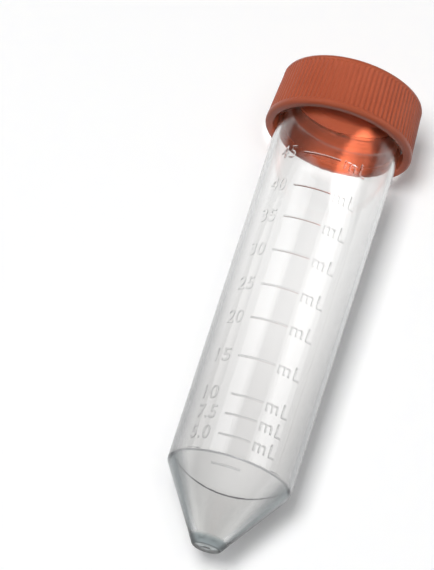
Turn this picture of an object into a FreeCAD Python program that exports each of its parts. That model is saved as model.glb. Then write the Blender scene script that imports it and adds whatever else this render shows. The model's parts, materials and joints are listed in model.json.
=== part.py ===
import FreeCAD, Part
import math
import os

from FreeCAD import Vector

# A 50 ml conical centrifuge tube with its ribbed screw cap, lying on a bench.
#
# Both mouldings are modelled about the Z axis, with the tip of the cone at the bottom and the cap
# at the top. lay_down() then turns the closed tube to the way it rests: on the shoulder of its
# cone and on the lip of its cap, with the graduations upwards, the cap towards +X and the origin
# on the bench under the middle of its length. All sizes are in millimetres.

# --- The tube: one clear moulding ---------------------------------------------------------------
TUBE_LENGTH = 115.0           # end of the tip to the mouth
TIP_RADIUS = 3.2              # flat end of the cone
TIP_CHAMFER = 0.4
CONE_HEIGHT = 17.05           # end of the tip to the shoulder
SHOULDER_RADIUS = 14.25
SHOULDER_ROUNDING = 0.4
MOUTH_RADIUS = 14.85          # the body widens towards the mouth, so that it leaves its mould
MOUTH_WALL = 1.1
MOUTH_CHAMFER = 0.3
SHOULDER_WALL = 1.3           # the wall thickens downwards
FLOOR_THICKNESS = 2.0         # solid end of the cone
FLOOR_RADIUS = 2.45
FLOOR_ROUNDING = 1.4
INNER_SHOULDER_RISE = 1.1     # the inner shoulder lies this much above the outer one
GATE_RADIUS = 1.1             # stub left where the plastic entered the mould
GATE_HEIGHT = 0.3
GATE_BITE = 0.3               # how deep the stub is sunk into the tip

# --- The thread round the tube's neck -----------------------------------------------------------
THREAD_CREST_RADIUS = 15.5
THREAD_PITCH = 3.6
THREAD_TURNS = 1.75
THREAD_ROOT_WIDTH = 1.5
THREAD_CREST_WIDTH = 0.6
THREAD_BELOW_MOUTH = 2.2      # upper end of the thread, down from the mouth
THREAD_BITE = 0.4             # how deep the ridge's foot is sunk into the wall

# --- The raised graduation lines ----------------------------------------------------------------
GRADUATION_HEIGHTS = [        # up from the end of the tip, for 2.5, 5, 7.5, 10, 15 ... 45 ml
    15.05, 21.45, 26.35, 31.05, 40.25, 49.75, 58.15, 66.85, 75.45, 83.55, 92.05,
]
LINE_RELIEF = 0.22            # how far the lines stand out from the wall
LINE_WIDTH = 0.45
LINE_BITE = 0.3
LONG_LINE_ANGLE = 34.0        # degrees round the axis
SHORT_LINE_ANGLE = 29.0
SHORT_LINES = 4               # the lowest lines, which are the short ones
LINE_END_ANGLE = 6.5          # from the middle of the scale to the end that all lines share
SCALE_TURN = 8.0              # the middle of the scale, from straight up towards -Y

# --- The cap: one coloured moulding -------------------------------------------------------------
CAP_HEIGHT = 13.7
CAP_TOP_WALL = 2.1
CAP_RIM_RADIUS = 17.7
CAP_TOP_RADIUS = 16.75
CAP_TOP_BAND = 1.0            # plain band over the ribs, with the rounding to the flat top
CAP_TOP_ROUNDING = 0.9
CAP_RIM_CHAMFER = 0.5
CAP_BORE_CLEARANCE = 0.12     # from the crest of the tube's thread to the cap's bore
RIB_COUNT = 90
RIB_DEPTH = 0.35
RIB_SETBACK = 0.07            # the crests lie this much inside the plain lip and top
RIB_CREST_SHARE = 0.36        # of the pitch
RIB_VALLEY_SHARE = 0.24
RIB_ROOT_COVER = 0.05         # the lip and the top end this much inside the groove floors
RIB_RUNOUT = 0.45             # height of the slope that ends each groove, above and below
LIP_HEIGHT = 1.3              # plain band under the ribs
PLUG_DEPTH = 2.8              # ring under the cap's top that seals the mouth
PLUG_WALL = 0.9
PLUG_CHAMFER = 0.3
PLUG_CLEARANCE = 0.1

# --- How finely the turned faces are made -------------------------------------------------------
ROUNDING_FLATS = 3            # short flats that stand for the arc of a rounding
LONG_SIDE = 50.0              # a side of an outline over this length may be a spline

# --- Sizes that follow from those above ---------------------------------------------------------
RIM_HEIGHT = TUBE_LENGTH + CAP_TOP_WALL - CAP_HEIGHT      # lower edge of the closed cap
CAP_TOP = TUBE_LENGTH + CAP_TOP_WALL
CAP_BORE_RADIUS = THREAD_CREST_RADIUS + CAP_BORE_CLEARANCE
GROOVE_FLOOR_DEPTH = RIB_DEPTH + RIB_ROOT_COVER
UP = Vector(0, 0, 1)
ORIGIN = Vector(0, 0, 0)


def body_radius(height):
    """Outer radius of the tube's drafted body at a height above its shoulder."""
    share = (height - CONE_HEIGHT) / (TUBE_LENGTH - CONE_HEIGHT)
    return SHOULDER_RADIUS + share * (MOUTH_RADIUS - SHOULDER_RADIUS)


def cone_radius(height):
    """Outer radius of the tube's cone."""
    return TIP_RADIUS + height / CONE_HEIGHT * (SHOULDER_RADIUS - TIP_RADIUS)


def bore_radius(height):
    """Inner radius of the tube's body."""
    low, high = CONE_HEIGHT + INNER_SHOULDER_RISE, TUBE_LENGTH
    bottom = SHOULDER_RADIUS - SHOULDER_WALL
    share = (height - low) / (high - low)
    return bottom + share * (MOUTH_RADIUS - MOUTH_WALL - bottom)


def cap_radius(height):
    """Outer radius of the cap's plain lip and top, which all follow one taper."""
    share = (height - RIM_HEIGHT) / CAP_HEIGHT
    return CAP_RIM_RADIUS + share * (CAP_TOP_RADIUS - CAP_RIM_RADIUS)


def rounding_centre(before, corner, after, rounding):
    """Centre of the arc that rounds a corner between two straight sides."""
    to_before = (before - corner).normalize()
    to_after = (after - corner).normalize()
    half_angle = to_before.getAngle(to_after) / 2
    return corner + (to_before + to_after).normalize() * (rounding / math.sin(half_angle))


def outline_face(corners, long_sides_as_splines):
    """Face in the XZ plane from (radius, height) or (radius, height, rounding) corners.

    A rounding is a few short flats between the ends of its arc.
    """
    points = [Vector(corner[0], 0, corner[1]) for corner in corners]
    path = []
    for index, corner in enumerate(corners):
        before, point = points[index - 1], points[index]
        after = points[(index + 1) % len(points)]
        if len(corner) == 2:
            path.append(point)
            continue
        rounding = corner[2]
        centre = rounding_centre(before, point, after, rounding)
        reach = math.sqrt((centre - point).Length ** 2 - rounding ** 2)
        start = point + (before - point).normalize() * reach
        end = point + (after - point).normalize() * reach
        middle = centre + (point - centre).normalize() * rounding
        path.extend(Part.Arc(start, middle, end).discretize(ROUNDING_FLATS + 1))
    edges = []
    for start, end in zip(path, path[1:] + path[:1]):
        line = Part.LineSegment(start, end)
        if long_sides_as_splines and line.length() > LONG_SIDE:
            line = line.toBSpline()
        edges.append(line.toShape())
    return Part.Face(Part.Wire(edges))


def turned(corners, angle=360.0, long_sides_as_splines=False):
    """Solid made by turning an outline round the Z axis.

    A long conical wall that nothing cuts into can be turned from a spline: the same surface
    then needs a tenth of the facets.
    """
    return outline_face(corners, long_sides_as_splines).revolve(ORIGIN, UP, angle)


def tube_blank():
    """The tube's turned form: tip, cone, drafted body and hollow."""
    mouth_edge = TUBE_LENGTH - MOUTH_CHAMFER
    outside = turned([
        (0, 0),
        (TIP_RADIUS, 0),
        (cone_radius(TIP_CHAMFER), TIP_CHAMFER),
        (SHOULDER_RADIUS, CONE_HEIGHT, SHOULDER_ROUNDING),
        (body_radius(mouth_edge), mouth_edge),
        (MOUTH_RADIUS - MOUTH_CHAMFER, TUBE_LENGTH),
        (0, TUBE_LENGTH),
    ])
    hollow = turned([
        (0, FLOOR_THICKNESS),
        (FLOOR_RADIUS, FLOOR_THICKNESS, FLOOR_ROUNDING),
        (SHOULDER_RADIUS - SHOULDER_WALL, CONE_HEIGHT + INNER_SHOULDER_RISE),
        (bore_radius(mouth_edge), mouth_edge),
        (bore_radius(TUBE_LENGTH) + MOUTH_CHAMFER, TUBE_LENGTH),
        (0, TUBE_LENGTH),
    ], long_sides_as_splines=True)
    return outside.cut(hollow)


def neck_thread():
    """One helical ridge of trapezium section round the neck."""
    length = THREAD_TURNS * THREAD_PITCH
    start = TUBE_LENGTH - THREAD_BELOW_MOUTH - length
    foot_radius = body_radius(start) - THREAD_BITE
    helix = Part.makeHelix(THREAD_PITCH, length, foot_radius)
    half_root, half_crest = THREAD_ROOT_WIDTH / 2, THREAD_CREST_WIDTH / 2
    section = Part.makePolygon([
        Vector(foot_radius, 0, -half_root),
        Vector(THREAD_CREST_RADIUS, 0, -half_crest),
        Vector(THREAD_CREST_RADIUS, 0, half_crest),
        Vector(foot_radius, 0, half_root),
        Vector(foot_radius, 0, -half_root),
    ])
    ridge = Part.Wire(helix).makePipeShell([section], True, True)
    ridge.translate(Vector(0, 0, start))
    return ridge


def graduation_line(height, angle):
    """A raised line on the body or the cone, ending at the scale's shared end."""
    wall = cone_radius if height < CONE_HEIGHT else body_radius
    low, high = height - LINE_WIDTH / 2, height + LINE_WIDTH / 2
    line = turned([
        (wall(low) - LINE_BITE, low),
        (wall(low) + LINE_RELIEF, low),
        (wall(high) + LINE_RELIEF, high),
        (wall(high) - LINE_BITE, high),
    ], angle)
    line.rotate(ORIGIN, UP, LINE_END_ANGLE - angle)
    return line


def make_tube():
    """Blank, thread, graduation lines and gate stub, fused into one moulding."""
    lines = []
    for index, height in enumerate(GRADUATION_HEIGHTS):
        angle = SHORT_LINE_ANGLE if index < SHORT_LINES else LONG_LINE_ANGLE
        lines.append(graduation_line(height, angle))
    gate = Part.makeCylinder(GATE_RADIUS, GATE_HEIGHT + GATE_BITE, Vector(0, 0, -GATE_HEIGHT))
    return tube_blank().fuse([neck_thread(), gate] + lines).removeSplitter()


def rib_outline(height):
    """Closed outline of all the ribs and grooves at one height."""
    crest = cap_radius(height) - RIB_SETBACK
    valley = cap_radius(height) - RIB_DEPTH
    pitch = 2 * math.pi / RIB_COUNT
    half_crest = RIB_CREST_SHARE * pitch / 2
    half_valley = RIB_VALLEY_SHARE * pitch / 2
    points = []
    for index in range(RIB_COUNT):
        rib = index * pitch
        groove = rib + pitch / 2
        for angle, radius in [
            (rib - half_crest, crest),
            (rib + half_crest, crest),
            (groove - half_valley, valley),
            (groove + half_valley, valley),
        ]:
            points.append(Vector(radius * math.cos(angle), radius * math.sin(angle), height))
    return Part.makePolygon(points + points[:1])


def make_cap():
    """Plain lip and top with the ribbed band between, hollowed for the neck and the plug ring."""
    rim_edge = RIM_HEIGHT + CAP_RIM_CHAMFER
    lip_top = RIM_HEIGHT + LIP_HEIGHT
    ribs_top = CAP_TOP - CAP_TOP_BAND
    lip = turned([
        (0, RIM_HEIGHT),
        (cap_radius(rim_edge) - CAP_RIM_CHAMFER, RIM_HEIGHT),
        (cap_radius(rim_edge), rim_edge),
        (cap_radius(lip_top), lip_top),
        (cap_radius(lip_top + RIB_RUNOUT) - GROOVE_FLOOR_DEPTH, lip_top + RIB_RUNOUT),
        (0, lip_top + RIB_RUNOUT),
    ])
    ribs = Part.makeLoft([rib_outline(lip_top), rib_outline(ribs_top)], True, True)
    top = turned([
        (0, ribs_top - RIB_RUNOUT),
        (cap_radius(ribs_top - RIB_RUNOUT) - GROOVE_FLOOR_DEPTH, ribs_top - RIB_RUNOUT),
        (cap_radius(ribs_top), ribs_top),
        (CAP_TOP_RADIUS, CAP_TOP, CAP_TOP_ROUNDING),
        (0, CAP_TOP),
    ])
    plug_radius = bore_radius(TUBE_LENGTH - PLUG_DEPTH) - PLUG_CLEARANCE
    plug_end = TUBE_LENGTH - PLUG_DEPTH
    hollow = turned([
        (0, RIM_HEIGHT),
        (CAP_BORE_RADIUS, RIM_HEIGHT),
        (CAP_BORE_RADIUS, TUBE_LENGTH),
        (plug_radius, TUBE_LENGTH),
        (plug_radius, plug_end + PLUG_CHAMFER),
        (plug_radius - PLUG_CHAMFER, plug_end),
        (plug_radius - PLUG_WALL, plug_end),
        (plug_radius - PLUG_WALL, TUBE_LENGTH),
        (0, TUBE_LENGTH),
    ])
    return lip.fuse([ribs, top]).cut(hollow).removeSplitter()


def resting_tilt():
    """How far the axis rises towards the cap when shoulder and lip both touch the bench.

    The bench is the line that touches the shoulder's rounding and the lip's lower edge.
    """
    shoulder = rounding_centre(
        Vector(TIP_RADIUS, 0, 0),
        Vector(SHOULDER_RADIUS, 0, CONE_HEIGHT),
        Vector(MOUTH_RADIUS, 0, TUBE_LENGTH),
        SHOULDER_ROUNDING,
    )
    rim_edge = RIM_HEIGHT + CAP_RIM_CHAMFER
    apart = Vector(cap_radius(rim_edge), 0, rim_edge) - shoulder
    return math.degrees(math.atan2(apart.x, apart.z) - math.asin(SHOULDER_ROUNDING / apart.Length))


def lay_down(shapes):
    """Turn the standing shapes to their rest on the bench, all by the same moves."""
    tilt = resting_tilt()
    for shape in shapes:
        shape.rotate(ORIGIN, UP, 180 + SCALE_TURN)
        shape.rotate(ORIGIN, Vector(0, 1, 0), 90 - tilt)
    box = Part.makeCompound(shapes).optimalBoundingBox(False, False)
    for shape in shapes:
        shape.translate(Vector(-box.Center.x, 0, -box.ZMin))


def main():
    """Write one STEP file for each moulding."""
    pieces = {"tube": make_tube(), "cap": make_cap()}
    lay_down(list(pieces.values()))
    os.makedirs("parts", exist_ok=True)
    for name, shape in pieces.items():
        shape.exportStep("parts/" + name + ".step")


main()
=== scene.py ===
import json
import math

import bmesh
import bpy
from mathutils import Matrix, Vector, noise


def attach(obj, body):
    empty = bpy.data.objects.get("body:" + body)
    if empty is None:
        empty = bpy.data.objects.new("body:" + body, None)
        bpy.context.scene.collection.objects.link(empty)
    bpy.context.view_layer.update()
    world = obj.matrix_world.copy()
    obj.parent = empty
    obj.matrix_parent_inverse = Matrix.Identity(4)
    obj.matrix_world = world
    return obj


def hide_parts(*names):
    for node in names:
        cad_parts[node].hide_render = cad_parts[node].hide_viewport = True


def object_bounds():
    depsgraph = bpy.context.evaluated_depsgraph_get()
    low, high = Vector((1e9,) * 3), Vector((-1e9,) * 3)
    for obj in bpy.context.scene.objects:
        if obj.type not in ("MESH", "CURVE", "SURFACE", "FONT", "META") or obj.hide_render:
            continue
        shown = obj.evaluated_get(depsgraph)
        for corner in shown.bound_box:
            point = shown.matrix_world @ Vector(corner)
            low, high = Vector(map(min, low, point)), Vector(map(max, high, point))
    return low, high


# A 50 ml conical centrifuge tube with a ribbed screw cap, lying on a pale bench.
#
# Both mouldings are modelled in millimetres as they stand: the tip of the cone at the origin, the
# cap upwards along Z and the middle of the scale towards X. Each finished mesh is then laid where
# the frame has its body. A height is always measured from the end of the tip.

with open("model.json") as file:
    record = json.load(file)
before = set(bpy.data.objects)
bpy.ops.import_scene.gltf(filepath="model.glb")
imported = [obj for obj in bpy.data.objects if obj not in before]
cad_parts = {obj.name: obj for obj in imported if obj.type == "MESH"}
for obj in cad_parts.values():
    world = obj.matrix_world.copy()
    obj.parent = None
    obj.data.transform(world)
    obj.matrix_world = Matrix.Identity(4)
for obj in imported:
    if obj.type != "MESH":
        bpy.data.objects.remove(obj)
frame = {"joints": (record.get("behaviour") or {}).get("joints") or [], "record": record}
cad_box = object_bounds()

# --- The tube -----------------------------------------------------------------------------------
TUBE_LENGTH = 115.0
CONE_HEIGHT = 17.05
TIP_RADIUS = 3.2
SHOULDER_RADIUS = 14.25
MOUTH_RADIUS = 14.85
MOUTH_BORE = 13.75
SHOULDER_BORE = 12.95
SHOULDER_BORE_HEIGHT = 18.15
FLOOR_RADIUS = 2.45
FLOOR_HEIGHT = 2.0
GATE_RADIUS = 1.1
GATE_HEIGHT = 0.3
GATE_ROUGHNESS = 0.12         # how far the broken face of the gate stub is uneven
GATE_COARSE = 1.7             # waves of that face in a millimetre, coarse and fine
GATE_FINE = 4.3
GATE_LIFT = 0.4               # keeps most of that face above its lowest level
GATE_ROUNDING = 0.15          # setbacks of the roundings, from the gate up and down into the bore
GATE_FOOT_ROUNDING = 0.1
TIP_ROUNDING = 0.4
SHOULDER_ROUNDING = 0.35
MOUTH_ROUNDING = 0.25
MOUTH_BORE_ROUNDING = 0.3
SHOULDER_BORE_ROUNDING = 0.12
FLOOR_ROUNDING = 0.9
TUBE_STEPS = 240              # facets round the tube
ROUNDING_STEPS = 6            # facets over a rounded corner
HOLD = 0.12                   # how far from a rounding a wall is held straight
WALL_FOOT = 0.5               # heights between which the outer wall is plain
WALL_TOP = TUBE_LENGTH - 0.3
WALL_TOLERANCE = 0.004        # how far a point of that wall may lie off it
TUBE_SHARP_ANGLE = 40

# --- The thread, on the neck and in the cap -----------------------------------------------------
THREAD_PITCH = 3.6
THREAD_TURNS = 1.75
THREAD_START = 106.5          # height of the thread's lower end
THREAD_CREST_RADIUS = 15.5
THREAD_ROOT_WIDTH = 1.5
THREAD_CREST_WIDTH = 0.6
THREAD_BITE = 0.3             # how deep a ridge's foot is sunk into its wall
THREAD_RUNOUT = 40.0          # degrees over which a thread's ends sink away
THREAD_SUNK = 0.3             # share of its relief that a thread keeps at its very ends
THREAD_STEP = 5               # degrees between its sections
CAP_THREAD_CREST = 15.02
CAP_THREAD_TURNS = 1.5

# --- The scale ----------------------------------------------------------------------------------
SCALE_TURN = 8.0              # degrees, from straight up towards the side with the "mL"
SCALE = [                     # height and number of each line
    (15.05, ""), (21.45, "5.0"), (26.35, "7.5"), (31.05, "10"), (40.25, "15"), (49.75, "20"),
    (58.15, "25"), (66.85, "30"), (75.45, "35"), (83.55, "40"), (92.05, "45"),
]
LINE_END = 6.5                # degrees from the middle of the scale to the end all lines share
LONG_LINE = 34.0
SHORT_LINE = 29.0
SHORT_LINES = 4               # the lowest lines, which are the short ones
LINE_STEPS = 24               # facets along a line
LINE_BACK_STEPS = 6           # facets over its rounded back
LINE_WIDTH = 0.45
LINE_RELIEF = 0.17
LINE_BITE = 0.3
LETTER_HEIGHT = 3.2
LETTER_SPACE = 1.12
LETTER_RELIEF = 0.12
LETTER_BITE = 0.25
LETTER_EDGE = 0.08            # width of the bevel round a letter
LETTER_THINNING = 0.045       # how much thinner its strokes are than the typeface's
CAPITAL_SHARE = 0.7           # height of a capital, as a share of the typeface's size
NUMBER_SPANS = {2: (-51.0, -35.5), 3: (-50.5, -31.0)}     # degrees, by the length of the number
SMALL_UNIT_SPAN = (10.1, 22.4)
LARGE_UNIT_SPAN = (26.0, 32.5)

# --- The cap ------------------------------------------------------------------------------------
CAP_HEIGHT = 13.7
CAP_TOP_WALL = 2.1
CAP_RIM_RADIUS = 17.7
CAP_TOP_RADIUS = 16.75
CAP_TOP_ROUNDING = 1.0
CAP_RIM_ROUNDING = 0.7
CAP_BORE_RADIUS = 15.62
RIB_COUNT = 90
RIB_SAMPLES = 10              # points round one rib and its groove
RIB_DEPTH = 0.31
RIB_SETBACK = 0.05
RIB_CREST_SHARE = 0.26        # of the pitch
RIB_VALLEY_SHARE = 0.22
RIB_RUNOUT = 0.5
RUNOUT_STEPS = 5
CAP_ARC_STEPS = 8             # facets over the rounding of the cap's top or rim
CAP_SHARP_ANGLE = 50
LIP_HEIGHT = 1.3
PLUG_RADIUS = 13.63
PLUG_WALL = 0.9
PLUG_DEPTH = 2.8

CAP_TOP = TUBE_LENGTH + CAP_TOP_WALL
RIM_HEIGHT = CAP_TOP - CAP_HEIGHT
TO_METRES = 0.001


def laid_down():
    """Matrix that takes the standing parts, in millimetres, to where the frame has them."""
    axis = Vector(frame["joints"][0]["axis"]).normalized()
    up = Vector((-axis.z, 0, axis.x))
    side = axis.cross(up)
    mounts = frame["record"]["mounts"]
    cap_top = Vector(next(m["pos_m"] for m in mounts if m["name"] == "cap_top"))
    turn = Matrix((up, side, axis)).transposed().to_4x4()
    tip = Matrix.Translation(cap_top - axis * CAP_TOP * TO_METRES)
    scale_turn = Matrix.Rotation(math.radians(SCALE_TURN), 4, "Z")
    return tip @ turn @ scale_turn @ Matrix.Scale(TO_METRES, 4)


LAID_DOWN = laid_down()


# --- Shapes -------------------------------------------------------------------------------------
def body_radius(height):
    """Outer radius of the tube above its shoulder."""
    share = (height - CONE_HEIGHT) / (TUBE_LENGTH - CONE_HEIGHT)
    return SHOULDER_RADIUS + share * (MOUTH_RADIUS - SHOULDER_RADIUS)


def cone_radius(height):
    """Outer radius of the cone."""
    return TIP_RADIUS + height / CONE_HEIGHT * (SHOULDER_RADIUS - TIP_RADIUS)


def wall_radius(height):
    """Outer radius of the tube at any height."""
    return cone_radius(height) if height < CONE_HEIGHT else body_radius(height)


def cap_radius(height):
    """Outer radius of the cap's tapered side."""
    share = (height - RIM_HEIGHT) / CAP_HEIGHT
    return CAP_RIM_RADIUS + share * (CAP_TOP_RADIUS - CAP_RIM_RADIUS)


def smooth(share):
    """Ease in and out between 0 and 1."""
    return share * share * (3 - 2 * share)


def held(corners):
    """The corners, with plain points close to each rounding, so that it alone is shaded round."""
    path = [corners[0]]
    for first, last in zip(corners, corners[1:]):
        start, end = Vector(first[:2]), Vector(last[:2])
        length = (end - start).length
        if length > first[2] + last[2] + 4 * HOLD:
            if first[2]:
                path.append((*start.lerp(end, (first[2] + HOLD) / length), 0))
            if last[2]:
                path.append((*end.lerp(start, (last[2] + HOLD) / length), 0))
        path.append(last)
    return path


def outline(corners):
    """Wire in the XZ plane through (radius, height, setback of the rounding) corners."""
    corners = held(corners)
    form = bmesh.new()
    points = [form.verts.new((radius, 0, height)) for radius, height, _ in corners]
    for pair in zip(points, points[1:]):
        form.edges.new(pair)
    for point, (_, _, setback) in zip(points, corners):
        if setback:
            bmesh.ops.bevel(
                form, geom=[point], offset=setback, offset_type="OFFSET",
                segments=ROUNDING_STEPS, profile=0.5, affect="VERTICES", material=-1)
    return form


def turned(form, steps):
    """Turn an outline once round Z, close it at the axis and point its faces outwards."""
    bmesh.ops.spin(
        form, geom=form.verts[:] + form.edges[:], cent=(0, 0, 0), axis=(0, 0, 1),
        dvec=(0, 0, 0), angle=2 * math.pi, steps=steps, use_merge=True)
    bmesh.ops.remove_doubles(form, verts=form.verts, dist=0.001)
    bmesh.ops.recalc_face_normals(form, faces=form.faces)
    return form


def ridge(section, start_angle, angle, rise, steps):
    """Solid swept by a (radius, height) section round Z, while it rises."""
    form = bmesh.new()
    points = [form.verts.new((radius, 0, height)) for radius, height in section]
    face = form.faces.new(points)
    geometry = [face] + face.edges[:] + points
    bmesh.ops.rotate(
        form, verts=points, cent=(0, 0, 0),
        matrix=Matrix.Rotation(math.radians(start_angle), 3, "Z"))
    bmesh.ops.spin(
        form, geom=geometry, cent=(0, 0, 0), axis=(0, 0, 1), dvec=(0, 0, rise / steps),
        angle=math.radians(angle), steps=steps, use_merge=False)
    bmesh.ops.recalc_face_normals(form, faces=form.faces)
    return form


def mesh_of(form, name):
    """The finished mesh of a bmesh."""
    mesh = bpy.data.meshes.new(name)
    form.to_mesh(mesh)
    form.free()
    return mesh


def linked(name, data):
    """An object for some data, linked into the scene."""
    made = bpy.data.objects.new(name, data)
    bpy.context.scene.collection.objects.link(made)
    return made


def fused(body, ridges):
    """The mesh of a moulding with its raised marks grown into one solid with it."""
    base = linked(body.name, body)
    raised = linked(ridges.name, ridges)
    union = base.modifiers.new("raised marks", "BOOLEAN")
    union.operation = "UNION"
    union.solver = "EXACT"
    union.use_self = True
    union.object = raised
    depsgraph = bpy.context.evaluated_depsgraph_get()
    mesh = bpy.data.meshes.new_from_object(base.evaluated_get(depsgraph))
    for made in (base, raised):
        bpy.data.objects.remove(made)
    return mesh


def merged(forms):
    """All the bmeshes in one."""
    whole = bmesh.new()
    for form in forms:
        mesh = mesh_of(form, "part of a moulding")
        whole.from_mesh(mesh)
        bpy.data.meshes.remove(mesh)
    return whole


# --- The tube's forms ---------------------------------------------------------------------------
def tube_blank():
    """Tip with its gate stub, cone, drafted body and bore, all turned from one outline."""
    form = turned(outline([
        (0, -GATE_HEIGHT, 0),
        (GATE_RADIUS * 0.5, -GATE_HEIGHT, 0),
        (GATE_RADIUS, -GATE_HEIGHT, GATE_ROUNDING),
        (GATE_RADIUS, 0, GATE_FOOT_ROUNDING),
        (TIP_RADIUS, 0, TIP_ROUNDING),
        (SHOULDER_RADIUS, CONE_HEIGHT, SHOULDER_ROUNDING),
        (MOUTH_RADIUS, TUBE_LENGTH, MOUTH_ROUNDING),
        (MOUTH_BORE, TUBE_LENGTH, MOUTH_BORE_ROUNDING),
        (SHOULDER_BORE, SHOULDER_BORE_HEIGHT, SHOULDER_BORE_ROUNDING),
        (FLOOR_RADIUS, FLOOR_HEIGHT, FLOOR_ROUNDING),
        (0, FLOOR_HEIGHT, 0),
    ]), TUBE_STEPS)
    for point in form.verts:
        if point.co.z < -0.01:
            wave = noise.noise(point.co * GATE_COARSE) + 0.5 * noise.noise(point.co * GATE_FINE)
            share = min(1.0, -point.co.z / GATE_HEIGHT)
            point.co.z += GATE_ROUGHNESS * (wave + GATE_LIFT) * share
        point.co.z = max(point.co.z, -GATE_HEIGHT)
    return form


def half_round(height, width, relief, bite):
    """Section of a ridge with a rounded back, seated in the wall."""
    arc = []
    for step in range(LINE_BACK_STEPS + 1):
        turn = math.pi * step / LINE_BACK_STEPS
        offset = -math.cos(turn) * width / 2
        arc.append((wall_radius(height + offset) + relief * math.sin(turn), height + offset))
    foot_low = (wall_radius(height - width / 2) - bite, height - width / 2)
    foot_high = (wall_radius(height + width / 2) - bite, height + width / 2)
    return [foot_low] + arc + [foot_high]


def scale_lines():
    """The raised lines of the scale."""
    lines = []
    for index, (height, _) in enumerate(SCALE):
        angle = SHORT_LINE if index < SHORT_LINES else LONG_LINE
        section = half_round(height, LINE_WIDTH, LINE_RELIEF, LINE_BITE)
        lines.append(ridge(section, LINE_END - angle, angle, 0, LINE_STEPS))
    return lines


def raised_text(words, span, height):
    """Raised letters bent round the wall between two angles, centred on a height."""
    curve = bpy.data.curves.new("letters", "FONT")
    curve.body = words
    curve.resolution_u = 3
    curve.size = LETTER_HEIGHT / CAPITAL_SHARE
    curve.offset = -LETTER_THINNING
    curve.space_character = LETTER_SPACE
    curve.extrude = (LETTER_RELIEF + LETTER_BITE) / 2 - LETTER_EDGE
    curve.bevel_depth = LETTER_EDGE
    curve.bevel_resolution = 1
    writing = linked("letters", curve)
    bpy.context.view_layer.update()
    depsgraph = bpy.context.evaluated_depsgraph_get()
    mesh = bpy.data.meshes.new_from_object(writing.evaluated_get(depsgraph))
    bpy.data.objects.remove(writing)
    form = bmesh.new()
    form.from_mesh(mesh)
    bpy.data.meshes.remove(mesh)
    bmesh.ops.remove_doubles(form, verts=form.verts, dist=0.0005)
    left = min(point.co.x for point in form.verts)
    width = max(point.co.x for point in form.verts) - left
    for point in form.verts:
        share = (point.co.x - left) / width
        around = math.radians(span[0] + share * (span[1] - span[0]))
        station = height - LETTER_HEIGHT / 2 + point.co.y
        out = wall_radius(station) + point.co.z + (LETTER_RELIEF - LETTER_BITE) / 2
        point.co = (out * math.cos(around), out * math.sin(around), station)
    bmesh.ops.recalc_face_normals(form, faces=form.faces)
    return form


def thread_section(root, crest, height):
    """Trapezium of a thread, its crest a little rounded, between its foot and its crest."""
    root_half, crest_half = THREAD_ROOT_WIDTH / 2, THREAD_CREST_WIDTH / 2
    # Share of the depth, and half the width there.
    flank = [(0.0, root_half), (0.75, crest_half + 0.1), (0.94, crest_half), (1.0, crest_half / 2)]
    low = [(root + share * (crest - root), height - half) for share, half in flank]
    return low + [(radius, 2 * height - station) for radius, station in reversed(low)]


def thread(root, crest, start, turns):
    """Helical ridge whose ends sink away into its wall."""
    angle = 360 * turns
    steps = int(angle / THREAD_STEP)
    section = thread_section(root, crest, start)
    form = ridge(section, 0, angle, turns * THREAD_PITCH, steps)
    for point in form.verts:
        radius = math.hypot(point.co.x, point.co.y)
        around = math.degrees(math.atan2(point.co.y, point.co.x)) % 360
        turn = round(((point.co.z - start) / THREAD_PITCH * 360 - around) / 360)
        along = around + 360 * turn
        left = min(along, angle - along) / THREAD_RUNOUT
        share = smooth(max(0.0, min(1.0, left)))
        sunk = root + (radius - root) * (THREAD_SUNK + (1 - THREAD_SUNK) * share)
        point.co.x *= sunk / radius
        point.co.y *= sunk / radius
    return form


def wall_normal(point):
    """Unit normal of the tube's turned outer wall at a standing point."""
    if point.z < CONE_HEIGHT:
        slope = (SHOULDER_RADIUS - TIP_RADIUS) / CONE_HEIGHT
    else:
        slope = (MOUTH_RADIUS - SHOULDER_RADIUS) / (TUBE_LENGTH - CONE_HEIGHT)
    return Vector((point.x, point.y, -slope * math.hypot(point.x, point.y))).normalized()


def on_wall(point):
    """True for a standing point on the plain outer wall."""
    if not WALL_FOOT < point.z < WALL_TOP:
        return False
    return abs(math.hypot(point.x, point.y) - wall_radius(point.z)) < WALL_TOLERANCE


def true_wall_normals(mesh):
    """Shade the plain wall round the raised marks as the turned surface that it is."""
    normals = [Vector((0, 0, 0))] * len(mesh.loops)
    for face in mesh.polygons:
        corners = [mesh.vertices[index].co for index in face.vertices]
        if not all(on_wall(corner) for corner in corners):
            continue
        if face.normal.dot(wall_normal(sum(corners, Vector()) / len(corners))) < 0.999:
            continue
        for loop, corner in zip(face.loop_indices, corners):
            normals[loop] = wall_normal(corner)
    mesh.normals_split_custom_set(normals)


def finished_piece(name, mesh, material, sharp_angle):
    """The object of a moulding, shaded smooth up to the sharp angle and given its material."""
    for face in mesh.polygons:
        face.use_smooth = True
    mesh.set_sharp_from_angle(angle=math.radians(sharp_angle))
    mesh.name = name
    mesh.materials.clear()
    mesh.materials.append(material)
    return linked(name, mesh)


def make_tube(material):
    """The clear moulding: blank, neck thread, lines, numbers and units."""
    neck = body_radius(THREAD_START) - THREAD_BITE
    marks = scale_lines()
    marks.append(thread(neck, THREAD_CREST_RADIUS, THREAD_START, THREAD_TURNS))
    for height, number in SCALE:
        if number:
            marks.append(raised_text(number, NUMBER_SPANS[len(number)], height))
            marks.append(raised_text("m", SMALL_UNIT_SPAN, height))
            marks.append(raised_text("L", LARGE_UNIT_SPAN, height))
    mesh = fused(mesh_of(tube_blank(), "blank"), mesh_of(merged(marks), "marks"))
    piece = finished_piece("clear_tube", mesh, material, TUBE_SHARP_ANGLE)
    true_wall_normals(mesh)
    mesh.transform(LAID_DOWN)
    return piece


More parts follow.
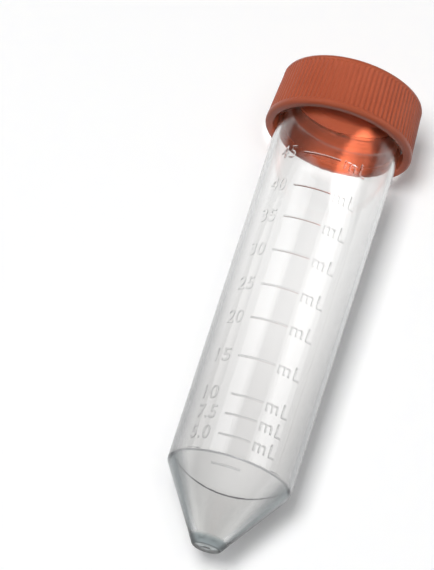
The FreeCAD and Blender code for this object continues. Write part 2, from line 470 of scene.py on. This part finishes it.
# --- The cap's forms ----------------------------------------------------------------------------
def groove_share(share_of_pitch):
    """0 on a rib's crest, 1 in the groove, smooth between."""
    from_crest = abs((share_of_pitch + 0.5) % 1.0 - 0.5)
    start = RIB_CREST_SHARE / 2
    end = 0.5 - RIB_VALLEY_SHARE / 2
    return smooth(max(0.0, min(1.0, (from_crest - start) / (end - start))))


def cap_path():
    """(radius, height, share of the rib depth) down the outside of the cap and up the inside."""
    ribs_top = CAP_TOP - CAP_TOP_ROUNDING
    lip_top = RIM_HEIGHT + LIP_HEIGHT
    path = [(0, CAP_TOP, 0)]
    crown = CAP_TOP_RADIUS - CAP_TOP_ROUNDING
    path += [(crown * share, CAP_TOP, 0) for share in (0.25, 0.5, 0.75, 0.97)]
    rounding = CAP_TOP_ROUNDING
    for step in range(CAP_ARC_STEPS + 1):
        turn = math.pi / 2 * step / CAP_ARC_STEPS
        radius = cap_radius(ribs_top) - rounding + rounding * math.sin(turn)
        path.append((radius, ribs_top + rounding * math.cos(turn), 0))
    for step in range(1, RUNOUT_STEPS + 1):
        height = ribs_top - RIB_RUNOUT * step / RUNOUT_STEPS
        path.append((cap_radius(height), height, smooth(step / RUNOUT_STEPS)))
    for step in range(RUNOUT_STEPS, -1, -1):
        height = lip_top + RIB_RUNOUT * step / RUNOUT_STEPS
        path.append((cap_radius(height), height, smooth(step / RUNOUT_STEPS)))
    for step in range(CAP_ARC_STEPS + 1):
        turn = math.pi / 2 * step / CAP_ARC_STEPS
        height = RIM_HEIGHT + CAP_RIM_ROUNDING * (1 - math.sin(turn))
        path.append((cap_radius(height) - CAP_RIM_ROUNDING * (1 - math.cos(turn)), height, 0))
    # The bore, the plug ring and the underside of the top, with the small breaks at their corners.
    path += [
        (CAP_BORE_RADIUS + 0.4, RIM_HEIGHT, 0),
        (CAP_BORE_RADIUS + 0.12, RIM_HEIGHT + 0.1, 0),
        (CAP_BORE_RADIUS, RIM_HEIGHT + 0.4, 0),
        (CAP_BORE_RADIUS, TUBE_LENGTH - 0.5, 0),
        (CAP_BORE_RADIUS - 0.15, TUBE_LENGTH - 0.15, 0),
        (CAP_BORE_RADIUS - 0.5, TUBE_LENGTH, 0),
        (PLUG_RADIUS + 0.02, TUBE_LENGTH, 0),
        (PLUG_RADIUS, TUBE_LENGTH - 0.05, 0),
        (PLUG_RADIUS, TUBE_LENGTH - PLUG_DEPTH + 0.4, 0),
        (PLUG_RADIUS - 0.12, TUBE_LENGTH - PLUG_DEPTH + 0.1, 0),
        (PLUG_RADIUS - 0.35, TUBE_LENGTH - PLUG_DEPTH, 0),
        (PLUG_RADIUS - PLUG_WALL + 0.2, TUBE_LENGTH - PLUG_DEPTH, 0),
        (PLUG_RADIUS - PLUG_WALL, TUBE_LENGTH - PLUG_DEPTH + 0.2, 0),
        (PLUG_RADIUS - PLUG_WALL, TUBE_LENGTH - 0.2, 0),
        (PLUG_RADIUS - PLUG_WALL - 0.2, TUBE_LENGTH, 0),
        (5, TUBE_LENGTH, 0),
        (0, TUBE_LENGTH, 0),
    ]
    return path


def cap_blank():
    """The cap drawn out ring by ring along its path, with ribs where the path asks for them."""
    count = RIB_COUNT * RIB_SAMPLES
    form = bmesh.new()
    bmesh.ops.create_circle(form, segments=count, radius=1.0, cap_ends=False)
    grooves = [groove_share(index / RIB_SAMPLES) for index in range(count)]
    turns = [2 * math.pi * index / count for index in range(count)]
    ring = form.verts[:]
    edges = form.edges[:]
    for index, (radius, height, share) in enumerate(cap_path()):
        if index:
            drawn = bmesh.ops.extrude_edge_only(form, edges=edges)["geom"]
            edges = [item for item in drawn if isinstance(item, bmesh.types.BMEdge)]
            ring = [item for item in drawn if isinstance(item, bmesh.types.BMVert)]
        for point in ring:
            spot = round(math.atan2(point.co.y, point.co.x) / (2 * math.pi) * count) % count
            groove = grooves[spot]
            depth = share * (RIB_SETBACK + groove * (RIB_DEPTH - RIB_SETBACK))
            reach = max(radius - depth, 0.0001)
            point.co = (reach * math.cos(turns[spot]), reach * math.sin(turns[spot]), height)
    bmesh.ops.remove_doubles(form, verts=form.verts, dist=0.001)
    bmesh.ops.recalc_face_normals(form, faces=form.faces)
    return form


def make_cap(material):
    """The coloured moulding with its ribs, plug ring and inner thread."""
    start = THREAD_START + THREAD_PITCH / 2
    inner = thread(CAP_BORE_RADIUS + THREAD_BITE, CAP_THREAD_CREST, start, CAP_THREAD_TURNS)
    mesh = fused(mesh_of(cap_blank(), "cap blank"), mesh_of(inner, "cap thread"))
    piece = finished_piece("ribbed_cap", mesh, material, CAP_SHARP_ANGLE)
    mesh.transform(LAID_DOWN)
    return piece


# --- Finishes -----------------------------------------------------------------------------------
MARK_RISE = (0.03, 0.09)      # from under to on a raised mark, as distance out from the wall
OUTER_WALL = (-0.9, -0.5)     # from the bore to the outer wall, likewise
ABOVE_SCALE = (100.0, 99.0)   # heights where the neck ends and the scale begins
NECK_TO_BODY = (100.0, 25.0)  # heights between which the painted shade of the wall's steep sides changes
SHADOW_CHANGE = (92.0, 102.0) # heights between which its shadow changes
SHOULDER_RING = (0.32, 0.14)  # from beside to on the ring of the shoulder
# Painted shade of the shoulder ring, on its near side and on its far side seen from within.
NEAR_RING_SHADE = (0.42, 0.43, 0.45, 1)
FAR_RING_SHADE = (0.05, 0.05, 0.06, 1)
GATE_TINT = (0.66, 0.7, 0.7, 1)
TIP_CLOUDING = 0.35           # added roughness of the solid tip, and of the neck in the cap
NECK_CLOUDING = 0.3
# Painted shade on the cap's rim and the underside of its lip.
RIM_SHADE = (0.78, 0.76, 0.75, 1)


def put(tree, kind, **inputs):
    """A node with some of its inputs set, spaces in their names written as underscores."""
    made = tree.nodes.new(kind)
    for name, value in inputs.items():
        made.inputs[name.replace("_", " ")].default_value = value
    return made


def moulded_surface():
    """Node group: the cloudiness and fine unevenness that a mould leaves on plastic."""
    group = bpy.data.node_groups.new("moulded surface", "ShaderNodeTree")
    face = group.interface
    for name, value in [
        ("Cloud size", 60.0), ("Grain size", 2500.0), ("Grain depth", 0.1),
        ("Least roughness", 0.05), ("Most roughness", 0.1),
    ]:
        face.new_socket(name, in_out="INPUT", socket_type="NodeSocketFloat").default_value = value
    face.new_socket("Cloud", in_out="OUTPUT", socket_type="NodeSocketFloat")
    face.new_socket("Roughness", in_out="OUTPUT", socket_type="NodeSocketFloat")
    face.new_socket("Normal", in_out="OUTPUT", socket_type="NodeSocketVector")
    given = group.nodes.new("NodeGroupInput")
    result = group.nodes.new("NodeGroupOutput")
    place = group.nodes.new("ShaderNodeTexCoord")
    cloud = put(group, "ShaderNodeTexNoise", Detail=3.0)
    grain = put(group, "ShaderNodeTexNoise", Detail=2.0)
    spread = group.nodes.new("ShaderNodeMapRange")
    bump = put(group, "ShaderNodeBump", Distance=0.0001)
    join = group.links.new
    join(place.outputs["Object"], cloud.inputs["Vector"])
    join(place.outputs["Object"], grain.inputs["Vector"])
    join(given.outputs["Cloud size"], cloud.inputs["Scale"])
    join(given.outputs["Grain size"], grain.inputs["Scale"])
    join(given.outputs["Least roughness"], spread.inputs["To Min"])
    join(given.outputs["Most roughness"], spread.inputs["To Max"])
    join(cloud.outputs["Fac"], spread.inputs["Value"])
    join(given.outputs["Grain depth"], bump.inputs["Strength"])
    join(grain.outputs["Fac"], bump.inputs["Height"])
    join(cloud.outputs["Fac"], result.inputs["Cloud"])
    join(spread.outputs["Result"], result.inputs["Roughness"])
    join(bump.outputs["Normal"], result.inputs["Normal"])
    return group


def with_surface(tree, group, values):
    """The moulded surface, placed in a material with that material's own values."""
    made = tree.nodes.new("ShaderNodeGroup")
    made.node_tree = group
    for name, value in values.items():
        made.inputs[name].default_value = value
    return made


def colour_ramp(tree, source, stops):
    """Colours along a 0 to 1 value."""
    ramp = tree.nodes.new("ShaderNodeValToRGB")
    points = ramp.color_ramp.elements
    while len(points) < len(stops):
        points.new(0.5)
    for point, (position, colour) in zip(points, stops):
        point.position = position
        point.color = (*colour, 1)
    tree.links.new(source, ramp.inputs["Fac"])
    return ramp.outputs["Color"]


def new_material(name):
    """An empty material with its output node."""
    material = bpy.data.materials.new(name)
    material.use_nodes = True
    tree = material.node_tree
    tree.nodes.clear()
    return material, tree, tree.nodes.new("ShaderNodeOutputMaterial")


def maths(tree, operation, first, second=None):
    """One Math node on a socket and a socket or number."""
    made = tree.nodes.new("ShaderNodeMath")
    made.operation = operation
    tree.links.new(first, made.inputs[0])
    if isinstance(second, bpy.types.NodeSocket):
        tree.links.new(second, made.inputs[1])
    elif second is not None:
        made.inputs[1].default_value = second
    return made.outputs["Value"]


def vector_maths(tree, operation, source, vector):
    """One Vector Math node on a socket and a fixed vector."""
    made = tree.nodes.new("ShaderNodeVectorMath")
    made.operation = operation
    tree.links.new(source, made.inputs[0])
    made.inputs[1].default_value = vector
    return made


def height_and_radius(tree):
    """Height up the tube and distance from its axis, in millimetres, at a point of its surface."""
    place = tree.nodes.new("ShaderNodeTexCoord")
    tip = LAID_DOWN.to_translation()
    axis = LAID_DOWN.to_3x3().col[2].normalized()
    from_tip = vector_maths(tree, "SUBTRACT", place.outputs["Object"], tip).outputs["Vector"]
    along = vector_maths(tree, "DOT_PRODUCT", from_tip, axis / TO_METRES).outputs["Value"]
    across = vector_maths(tree, "CROSS_PRODUCT", from_tip, axis / TO_METRES).outputs["Vector"]
    out = vector_maths(tree, "LENGTH", across, (0, 0, 0)).outputs["Value"]
    return along, out


def between(tree, source, start, end, low=0.0, high=1.0):
    """A value that goes from low at start to high at end."""
    spread = tree.nodes.new("ShaderNodeMapRange")
    spread.interpolation_type = "SMOOTHSTEP"
    for name, value in (("From Min", start), ("From Max", end), ("To Min", low), ("To Max", high)):
        spread.inputs[name].default_value = value
    tree.links.new(source, spread.inputs["Value"])
    return spread.outputs["Result"]


def blend(tree, kind, share, first, second):
    """Mix two colours; a share or colour may be a socket or a value."""
    made = tree.nodes.new("ShaderNodeMix")
    made.data_type = "RGBA"
    made.blend_type = kind
    for socket, value in ((made.inputs[0], share), (made.inputs[6], first), (made.inputs[7], second)):
        if isinstance(value, bpy.types.NodeSocket):
            tree.links.new(value, socket)
        else:
            socket.default_value = value
    return made.outputs[2]


def above_wall(tree, height, radius):
    """How far a point stands out from the tube's plain outer wall, in millimetres."""
    cone_slope = (SHOULDER_RADIUS - TIP_RADIUS) / CONE_HEIGHT
    body_slope = (MOUTH_RADIUS - SHOULDER_RADIUS) / (TUBE_LENGTH - CONE_HEIGHT)
    cone = maths(tree, "ADD", maths(tree, "MULTIPLY", height, cone_slope), TIP_RADIUS)
    body = maths(tree, "ADD", maths(tree, "MULTIPLY", height, body_slope), body_radius(0))
    return maths(tree, "SUBTRACT", radius, maths(tree, "MINIMUM", cone, body))


def moulded_marks(tree, height, proud):
    """1 on the raised lines and letters of the scale."""
    below_neck = between(tree, height, *ABOVE_SCALE)
    return maths(tree, "MULTIPLY", between(tree, proud, *MARK_RISE), below_neck)


def shoulder_line(tree, height, proud):
    """1 on the corner between body and cone, where a thin dark ring of painted shade goes."""
    away = maths(tree, "ABSOLUTE", maths(tree, "SUBTRACT", height, CONE_HEIGHT))
    outside = between(tree, proud, *OUTER_WALL)
    return maths(tree, "MULTIPLY", between(tree, away, *SHOULDER_RING), outside)


def edge_tint_and_shade(tree, height, proud):
    """Painted shade, partly the real grey of a long path in the wall, where the near side is seen
    steeply; darker towards the cone.
    """
    facing = put(tree, "ShaderNodeLayerWeight", Blend=0.5).outputs["Facing"]
    neck = colour_ramp(tree, facing, [
        (0.0, (1, 1, 1)), (0.3, (0.94, 0.94, 0.935)), (0.46, (0.81, 0.81, 0.81)),
        (0.64, (0.52, 0.525, 0.53)), (1.0, (0.36, 0.37, 0.38)),
    ])
    body = colour_ramp(tree, facing, [
        (0.0, (1, 1, 1)), (0.28, (0.85, 0.85, 0.845)), (0.46, (0.52, 0.525, 0.53)),
        (0.64, (0.18, 0.185, 0.19)), (1.0, (0.07, 0.075, 0.08)),
    ])
    cone = colour_ramp(tree, facing, [
        (0.0, (1, 1, 1)), (0.12, (1, 1, 1)), (0.24, (0.86, 0.865, 0.87)),
        (0.4, (0.26, 0.275, 0.285)), (0.54, (0.065, 0.08, 0.085)), (1.0, (0.03, 0.04, 0.045)),
    ])
    # Painted shade on the steep sides, with some real grey of the longer path through the wall.
    wall = blend(tree, "MIX", between(tree, height, *NECK_TO_BODY), neck, body)
    wall = blend(
        tree, "MIX", between(tree, height, CONE_HEIGHT + 0.5, CONE_HEIGHT - 0.5), wall, cone)
    from_behind = tree.nodes.new("ShaderNodeNewGeometry").outputs["Backfacing"]
    near_side = maths(tree, "SUBTRACT", between(tree, proud, *OUTER_WALL), from_behind)
    near_side = maths(tree, "MAXIMUM", near_side, 0.0)
    return blend(tree, "MIX", near_side, (1, 1, 1, 1), wall)


def clear_plastic(surface):
    """Clear polypropylene, greyer towards the cone by painted shade, and a light, soft shadow."""
    material, tree, output = new_material("clear plastic")
    join = tree.links.new
    finish = with_surface(tree, surface, {
        "Cloud size": 90.0, "Grain size": 700.0, "Grain depth": 0.05,
        "Least roughness": 0.02, "Most roughness": 0.06,
    })
    height, radius = height_and_radius(tree)
    proud = above_wall(tree, height, radius)
    plastic = put(tree, "ShaderNodeBsdfPrincipled", IOR=1.49, Transmission_Weight=1.0)
    # Painted shade: the plastic greys towards the cone and is dark in the solid tip.
    length = colour_ramp(tree, maths(tree, "DIVIDE", height, CAP_TOP), [
        (0.0, (0.36, 0.41, 0.42)), (0.012, (0.36, 0.41, 0.42)), (0.02, (0.82, 0.82, 0.81)),
        (0.2, (0.88, 0.875, 0.87)), (0.5, (0.985, 0.98, 0.975)), (0.8, (1.0, 1.0, 0.995)),
    ])
    colour_and_shade = blend(tree, "MULTIPLY", 1.0, length, edge_tint_and_shade(tree, height, proud))
    # Painted shade: a thin dark ring at the shoulder, darker on its far side.
    shoulder_shade = shoulder_line(tree, height, proud)
    from_behind = tree.nodes.new("ShaderNodeNewGeometry").outputs["Backfacing"]
    ring_shade = blend(tree, "MIX", from_behind, NEAR_RING_SHADE, FAR_RING_SHADE)
    colour_and_shade = blend(tree, "MULTIPLY", shoulder_shade, colour_and_shade, ring_shade)
    marks = moulded_marks(tree, height, proud)
    # Painted shade on the raised marks, darkest low on the scale.
    mark_shade = colour_ramp(tree, maths(tree, "DIVIDE", height, CAP_TOP), [
        (0.1, (0.72, 0.72, 0.73)), (0.4, (0.86, 0.86, 0.865)), (0.6, (1, 1, 1)),
    ])
    colour_and_shade = blend(tree, "MULTIPLY", marks, colour_and_shade, mark_shade)
    gate = between(tree, height, 0.05, -0.05)
    colour_and_shade = blend(tree, "MIX", gate, colour_and_shade, GATE_TINT)
    join(colour_and_shade, plastic.inputs["Base Color"])
    rough_tip = between(tree, height, FLOOR_HEIGHT + 0.4, FLOOR_HEIGHT - 0.4, 0.0, TIP_CLOUDING)
    rough_neck = between(tree, height, RIM_HEIGHT + 0.3, RIM_HEIGHT + 1.5, 0.0, NECK_CLOUDING)
    added = maths(tree, "ADD", rough_tip, rough_neck)
    join(maths(tree, "ADD", finish.outputs["Roughness"], added), plastic.inputs["Roughness"])
    join(finish.outputs["Normal"], plastic.inputs["Normal"])
    passed = tree.nodes.new("ShaderNodeBsdfTransparent")
    facing = put(tree, "ShaderNodeLayerWeight", Blend=0.5).outputs["Facing"]
    body_shade = colour_ramp(tree, facing, [
        (0.0, (0.97, 0.97, 0.97)), (0.12, (0.88, 0.88, 0.885)), (0.22, (0.5, 0.505, 0.51)),
        (0.4, (0.3, 0.305, 0.31)), (1.0, (0.08, 0.09, 0.1)),
    ])
    neck_shade = colour_ramp(tree, facing, [
        (0.0, (0.99, 0.99, 0.99)), (0.3, (0.95, 0.95, 0.95)), (1.0, (0.3, 0.31, 0.32)),
    ])
    shade = blend(tree, "MIX", between(tree, height, *SHADOW_CHANGE), body_shade, neck_shade)
    join(shade, passed.inputs["Color"])
    path = tree.nodes.new("ShaderNodeLightPath")
    either = tree.nodes.new("ShaderNodeMixShader")
    join(path.outputs["Is Shadow Ray"], either.inputs["Fac"])
    join(plastic.outputs["BSDF"], either.inputs[1])
    join(passed.outputs["BSDF"], either.inputs[2])
    join(either.outputs["Shader"], output.inputs["Surface"])
    return material


def orange_plastic(surface):
    """Satin orange polyethylene, with painted shade on its rim."""
    material, tree, output = new_material("orange plastic")
    join = tree.links.new
    finish = with_surface(tree, surface, {
        "Cloud size": 110.0, "Grain size": 3200.0, "Grain depth": 0.25,
        "Least roughness": 0.34, "Most roughness": 0.46,
    })
    plastic = put(tree, "ShaderNodeBsdfPrincipled", IOR=1.51, Specular_IOR_Level=0.3)
    colour = colour_ramp(tree, finish.outputs["Cloud"], [
        (0.3, (0.405, 0.085, 0.037)), (0.7, (0.445, 0.097, 0.043)),
    ])
    height, radius = height_and_radius(tree)
    # Painted shade on the rim and the underside of the lip.
    rim_shade = between(tree, height, RIM_HEIGHT + 1.2, RIM_HEIGHT + 0.4)
    join(blend(tree, "MULTIPLY", rim_shade, colour, RIM_SHADE), plastic.inputs["Base Color"])
    join(finish.outputs["Roughness"], plastic.inputs["Roughness"])
    join(finish.outputs["Normal"], plastic.inputs["Normal"])
    join(plastic.outputs["BSDF"], output.inputs["Surface"])
    return material


# --- Bench, light and camera --------------------------------------------------------------------
BENCH_REACH = 1.5             # metres from its middle to its sides
BENCH_WHITE = 0.88
BENCH_SHOWN_LIFT = 0.14       # added where the bench is looked at, so that it shows as white
BENCH_THROUGH = 1.04          # how white the bench shows through the clear plastic
BENCH_THROUGH_SHARE = 0.74    # and how far that replaces its lit colour
LAMP_DISTANCE = 0.9           # metres from the object
MAIN_LAMP_PLACE = (-15.5, -7.0)       # degrees round the tube from its scale, and up its axis
MAIN_LAMP_SIZE = (0.27, 0.34)
MAIN_LAMP_WATTS = 6.4
FRONT_LAMP_PLACE = (4.0, -8.0)
FRONT_LAMP_SIZE = (0.3, 0.3)
FRONT_LAMP_WATTS = 1.0
PANEL_HEIGHT = 16.0           # degrees up the tube's axis
PANEL_LENGTH = 0.34
PANEL_RADIANCE = 1.75
PANELS = [                    # degrees round the tube from its scale, and width in metres
    (36.0, 0.61), (44.0, 0.69), (54.0, 0.83), (-34.0, 0.52), (-44.0, 0.73), (-57.0, 1.0),
]
BEAM_PLACE = (0.0, -27.0)
BEAM_EDGE = 0.35              # share of a beam over which its edge fades
BEAM_SOURCE = 0.001           # radius of the source, in metres, which keeps its edge clean
# Each beam: place across and up the cap's bore, width and length in millimetres, and watts.
WIDE_BEAM = (0.0, 109.0, 36.0, 16.0, 36.0)
BRIGHT_BEAM = (6.3, 103.2, 8.4, 24.0, 150.0)
FILL = 0.12
FILL_COLOUR = (0.96, 0.98, 1.0, 1)


def bench():
    """Pale bench that keeps the object's shadow and shows as white elsewhere."""
    form = bmesh.new()
    bmesh.ops.create_grid(form, x_segments=1, y_segments=1, size=BENCH_REACH)
    mesh = mesh_of(form, "bench")
    floor = linked("bench", mesh)
    material, tree, output = new_material("pale bench")
    join = tree.links.new
    place = tree.nodes.new("ShaderNodeTexCoord")
    grain = put(tree, "ShaderNodeTexNoise", Scale=350.0, Detail=4.0)
    join(place.outputs["Object"], grain.inputs["Vector"])
    white = BENCH_WHITE
    colour = colour_ramp(tree, grain.outputs["Fac"], [
        (0.3, (white - 0.01, white - 0.01, white)), (0.7, (white + 0.01, white + 0.01, white)),
    ])
    matt = put(tree, "ShaderNodeBsdfDiffuse", Roughness=0.5)
    join(colour, matt.inputs["Color"])
    path = tree.nodes.new("ShaderNodeLightPath")
    seen = maths(tree, "MAXIMUM", path.outputs["Is Camera Ray"], path.outputs["Is Glossy Ray"])
    lift = put(tree, "ShaderNodeEmission", Color=(1, 1, 1, 1))
    join(maths(tree, "MULTIPLY", seen, BENCH_SHOWN_LIFT), lift.inputs["Strength"])
    both = tree.nodes.new("ShaderNodeAddShader")
    join(matt.outputs["BSDF"], both.inputs[0])
    join(lift.outputs["Emission"], both.inputs[1])
    white_through = put(tree, "ShaderNodeEmission", Color=(1, 1, 1, 1), Strength=BENCH_THROUGH)
    through = tree.nodes.new("ShaderNodeMixShader")
    join(maths(tree, "MULTIPLY", path.outputs["Is Transmission Ray"], BENCH_THROUGH_SHARE),
         through.inputs["Fac"])
    join(both.outputs["Shader"], through.inputs[1])
    join(white_through.outputs["Emission"], through.inputs[2])
    join(through.outputs["Shader"], output.inputs["Surface"])
    mesh.materials.append(material)


def seen_from(around, above):
    """Direction, in the frame, at degrees round the tube from its scale and degrees up its axis."""
    around, above = math.radians(around), math.radians(above)
    local = Vector((
        math.cos(above) * math.cos(around), math.cos(above) * math.sin(around), math.sin(above)))
    return (LAID_DOWN.to_3x3() @ local).normalized()


def lamp_turn(direction):
    """Turn of a lamp that stands in a direction and shines back, its length along the tube."""
    axis = LAID_DOWN.to_3x3().col[2].normalized()
    across = axis.cross(direction).normalized()
    return Matrix((across, direction.cross(across), direction)).transposed().to_4x4()


def soft_lamp(name, direction, width, length, watts):
    """A flat lamp that faces the middle of the object, its length along the tube."""
    light = bpy.data.lights.new(name, "AREA")
    light.shape = "RECTANGLE"
    light.size = width
    light.size_y = length
    light.energy = watts
    lamp = linked(name, light)
    place = Matrix.Translation((cad_box[0] + cad_box[1]) / 2 + direction * LAMP_DISTANCE)
    lamp.matrix_world = place @ lamp_turn(direction)
    return lamp


def beam(name, across_bore, height, width, length, watts):
    """A narrow oval beam that shines through the neck on the inside of the cap."""
    light = bpy.data.lights.new(name, "SPOT")
    light.energy = watts
    widest = max(width, length)
    light.spot_size = 2 * math.atan(widest * TO_METRES / 2 / LAMP_DISTANCE)
    light.spot_blend = BEAM_EDGE
    light.shadow_soft_size = BEAM_SOURCE
    lamp = linked(name, light)
    direction = seen_from(*BEAM_PLACE)
    oval = Matrix.Diagonal((width / widest, length / widest, 1, 1))
    far_side = -math.sqrt(CAP_BORE_RADIUS ** 2 - across_bore ** 2)
    target = LAID_DOWN @ Vector((far_side, across_bore, height))
    place = Matrix.Translation(target + direction * LAMP_DISTANCE)
    lamp.matrix_world = place @ lamp_turn(direction) @ oval
    lamp.visible_glossy = False
    lamp.visible_transmission = False


def lights():
    """Two soft lamps, two beams into the cap, panels that only gloss, and an even fill."""
    main = soft_lamp("main lamp", seen_from(*MAIN_LAMP_PLACE), *MAIN_LAMP_SIZE, MAIN_LAMP_WATTS)
    front = soft_lamp(
        "front lamp", seen_from(*FRONT_LAMP_PLACE), *FRONT_LAMP_SIZE, FRONT_LAMP_WATTS)
    main.visible_glossy = False
    beam("wide beam", *WIDE_BEAM)
    beam("bright beam", *BRIGHT_BEAM)
    for lamp in (main, front):
        lamp.visible_transmission = False
    for around, width in PANELS:
        watts = PANEL_RADIANCE * math.pi * width * PANEL_LENGTH
        panel = soft_lamp(
            "gloss panel", seen_from(around, PANEL_HEIGHT), width, PANEL_LENGTH, watts)
        panel.visible_diffuse = False
        panel.visible_transmission = False
    world = bpy.data.worlds.new("studio")
    bpy.context.scene.world = world
    world.use_nodes = True
    back = world.node_tree.nodes["Background"]
    back.inputs["Color"].default_value = FILL_COLOUR
    back.inputs["Strength"].default_value = FILL


# --- Camera, in millimetres ---------------------------------------------------------------------
CAMERA_DISTANCE = 608.3
CAMERA_PITCH = 63.97          # degrees down from level
CAMERA_HEADING = 17.13        # degrees from +X towards +Y
LOOKED_AT = 60.25             # height of the axis point that the view is measured from
POINT_RIGHT = 15.32           # where that point lies from the middle of the view
POINT_DOWN = 4.61
LENS = 169.7
SENSOR = 36.0


def camera():
    """Camera above the tip's end of the bench, with the cap at the top of the view."""
    pitch, heading = math.radians(CAMERA_PITCH), math.radians(CAMERA_HEADING)
    forward = Vector((
        math.cos(pitch) * math.cos(heading), math.cos(pitch) * math.sin(heading), -math.sin(pitch)))
    right = Vector((math.sin(heading), -math.cos(heading), 0))
    up = right.cross(forward)
    point = LAID_DOWN @ Vector((0, 0, LOOKED_AT))
    away = right * POINT_RIGHT - up * POINT_DOWN + forward * CAMERA_DISTANCE
    data = bpy.data.cameras.new("camera")
    data.lens = LENS
    data.sensor_width = SENSOR
    data.clip_start = 0.01
    data.clip_end = 20.0
    made = linked("camera", data)
    turn = Matrix((right, up, -forward)).transposed()
    made.matrix_world = Matrix.Translation(point - away * TO_METRES) @ turn.to_4x4()
    bpy.context.scene.camera = made


surface = moulded_surface()
tube = make_tube(clear_plastic(surface))
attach(tube, "tube")
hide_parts("tube")

cap = make_cap(orange_plastic(surface))
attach(cap, "cap")
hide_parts("cap")

bench()
lights()
camera()
bpy.context.scene.view_settings.view_transform = "Standard"
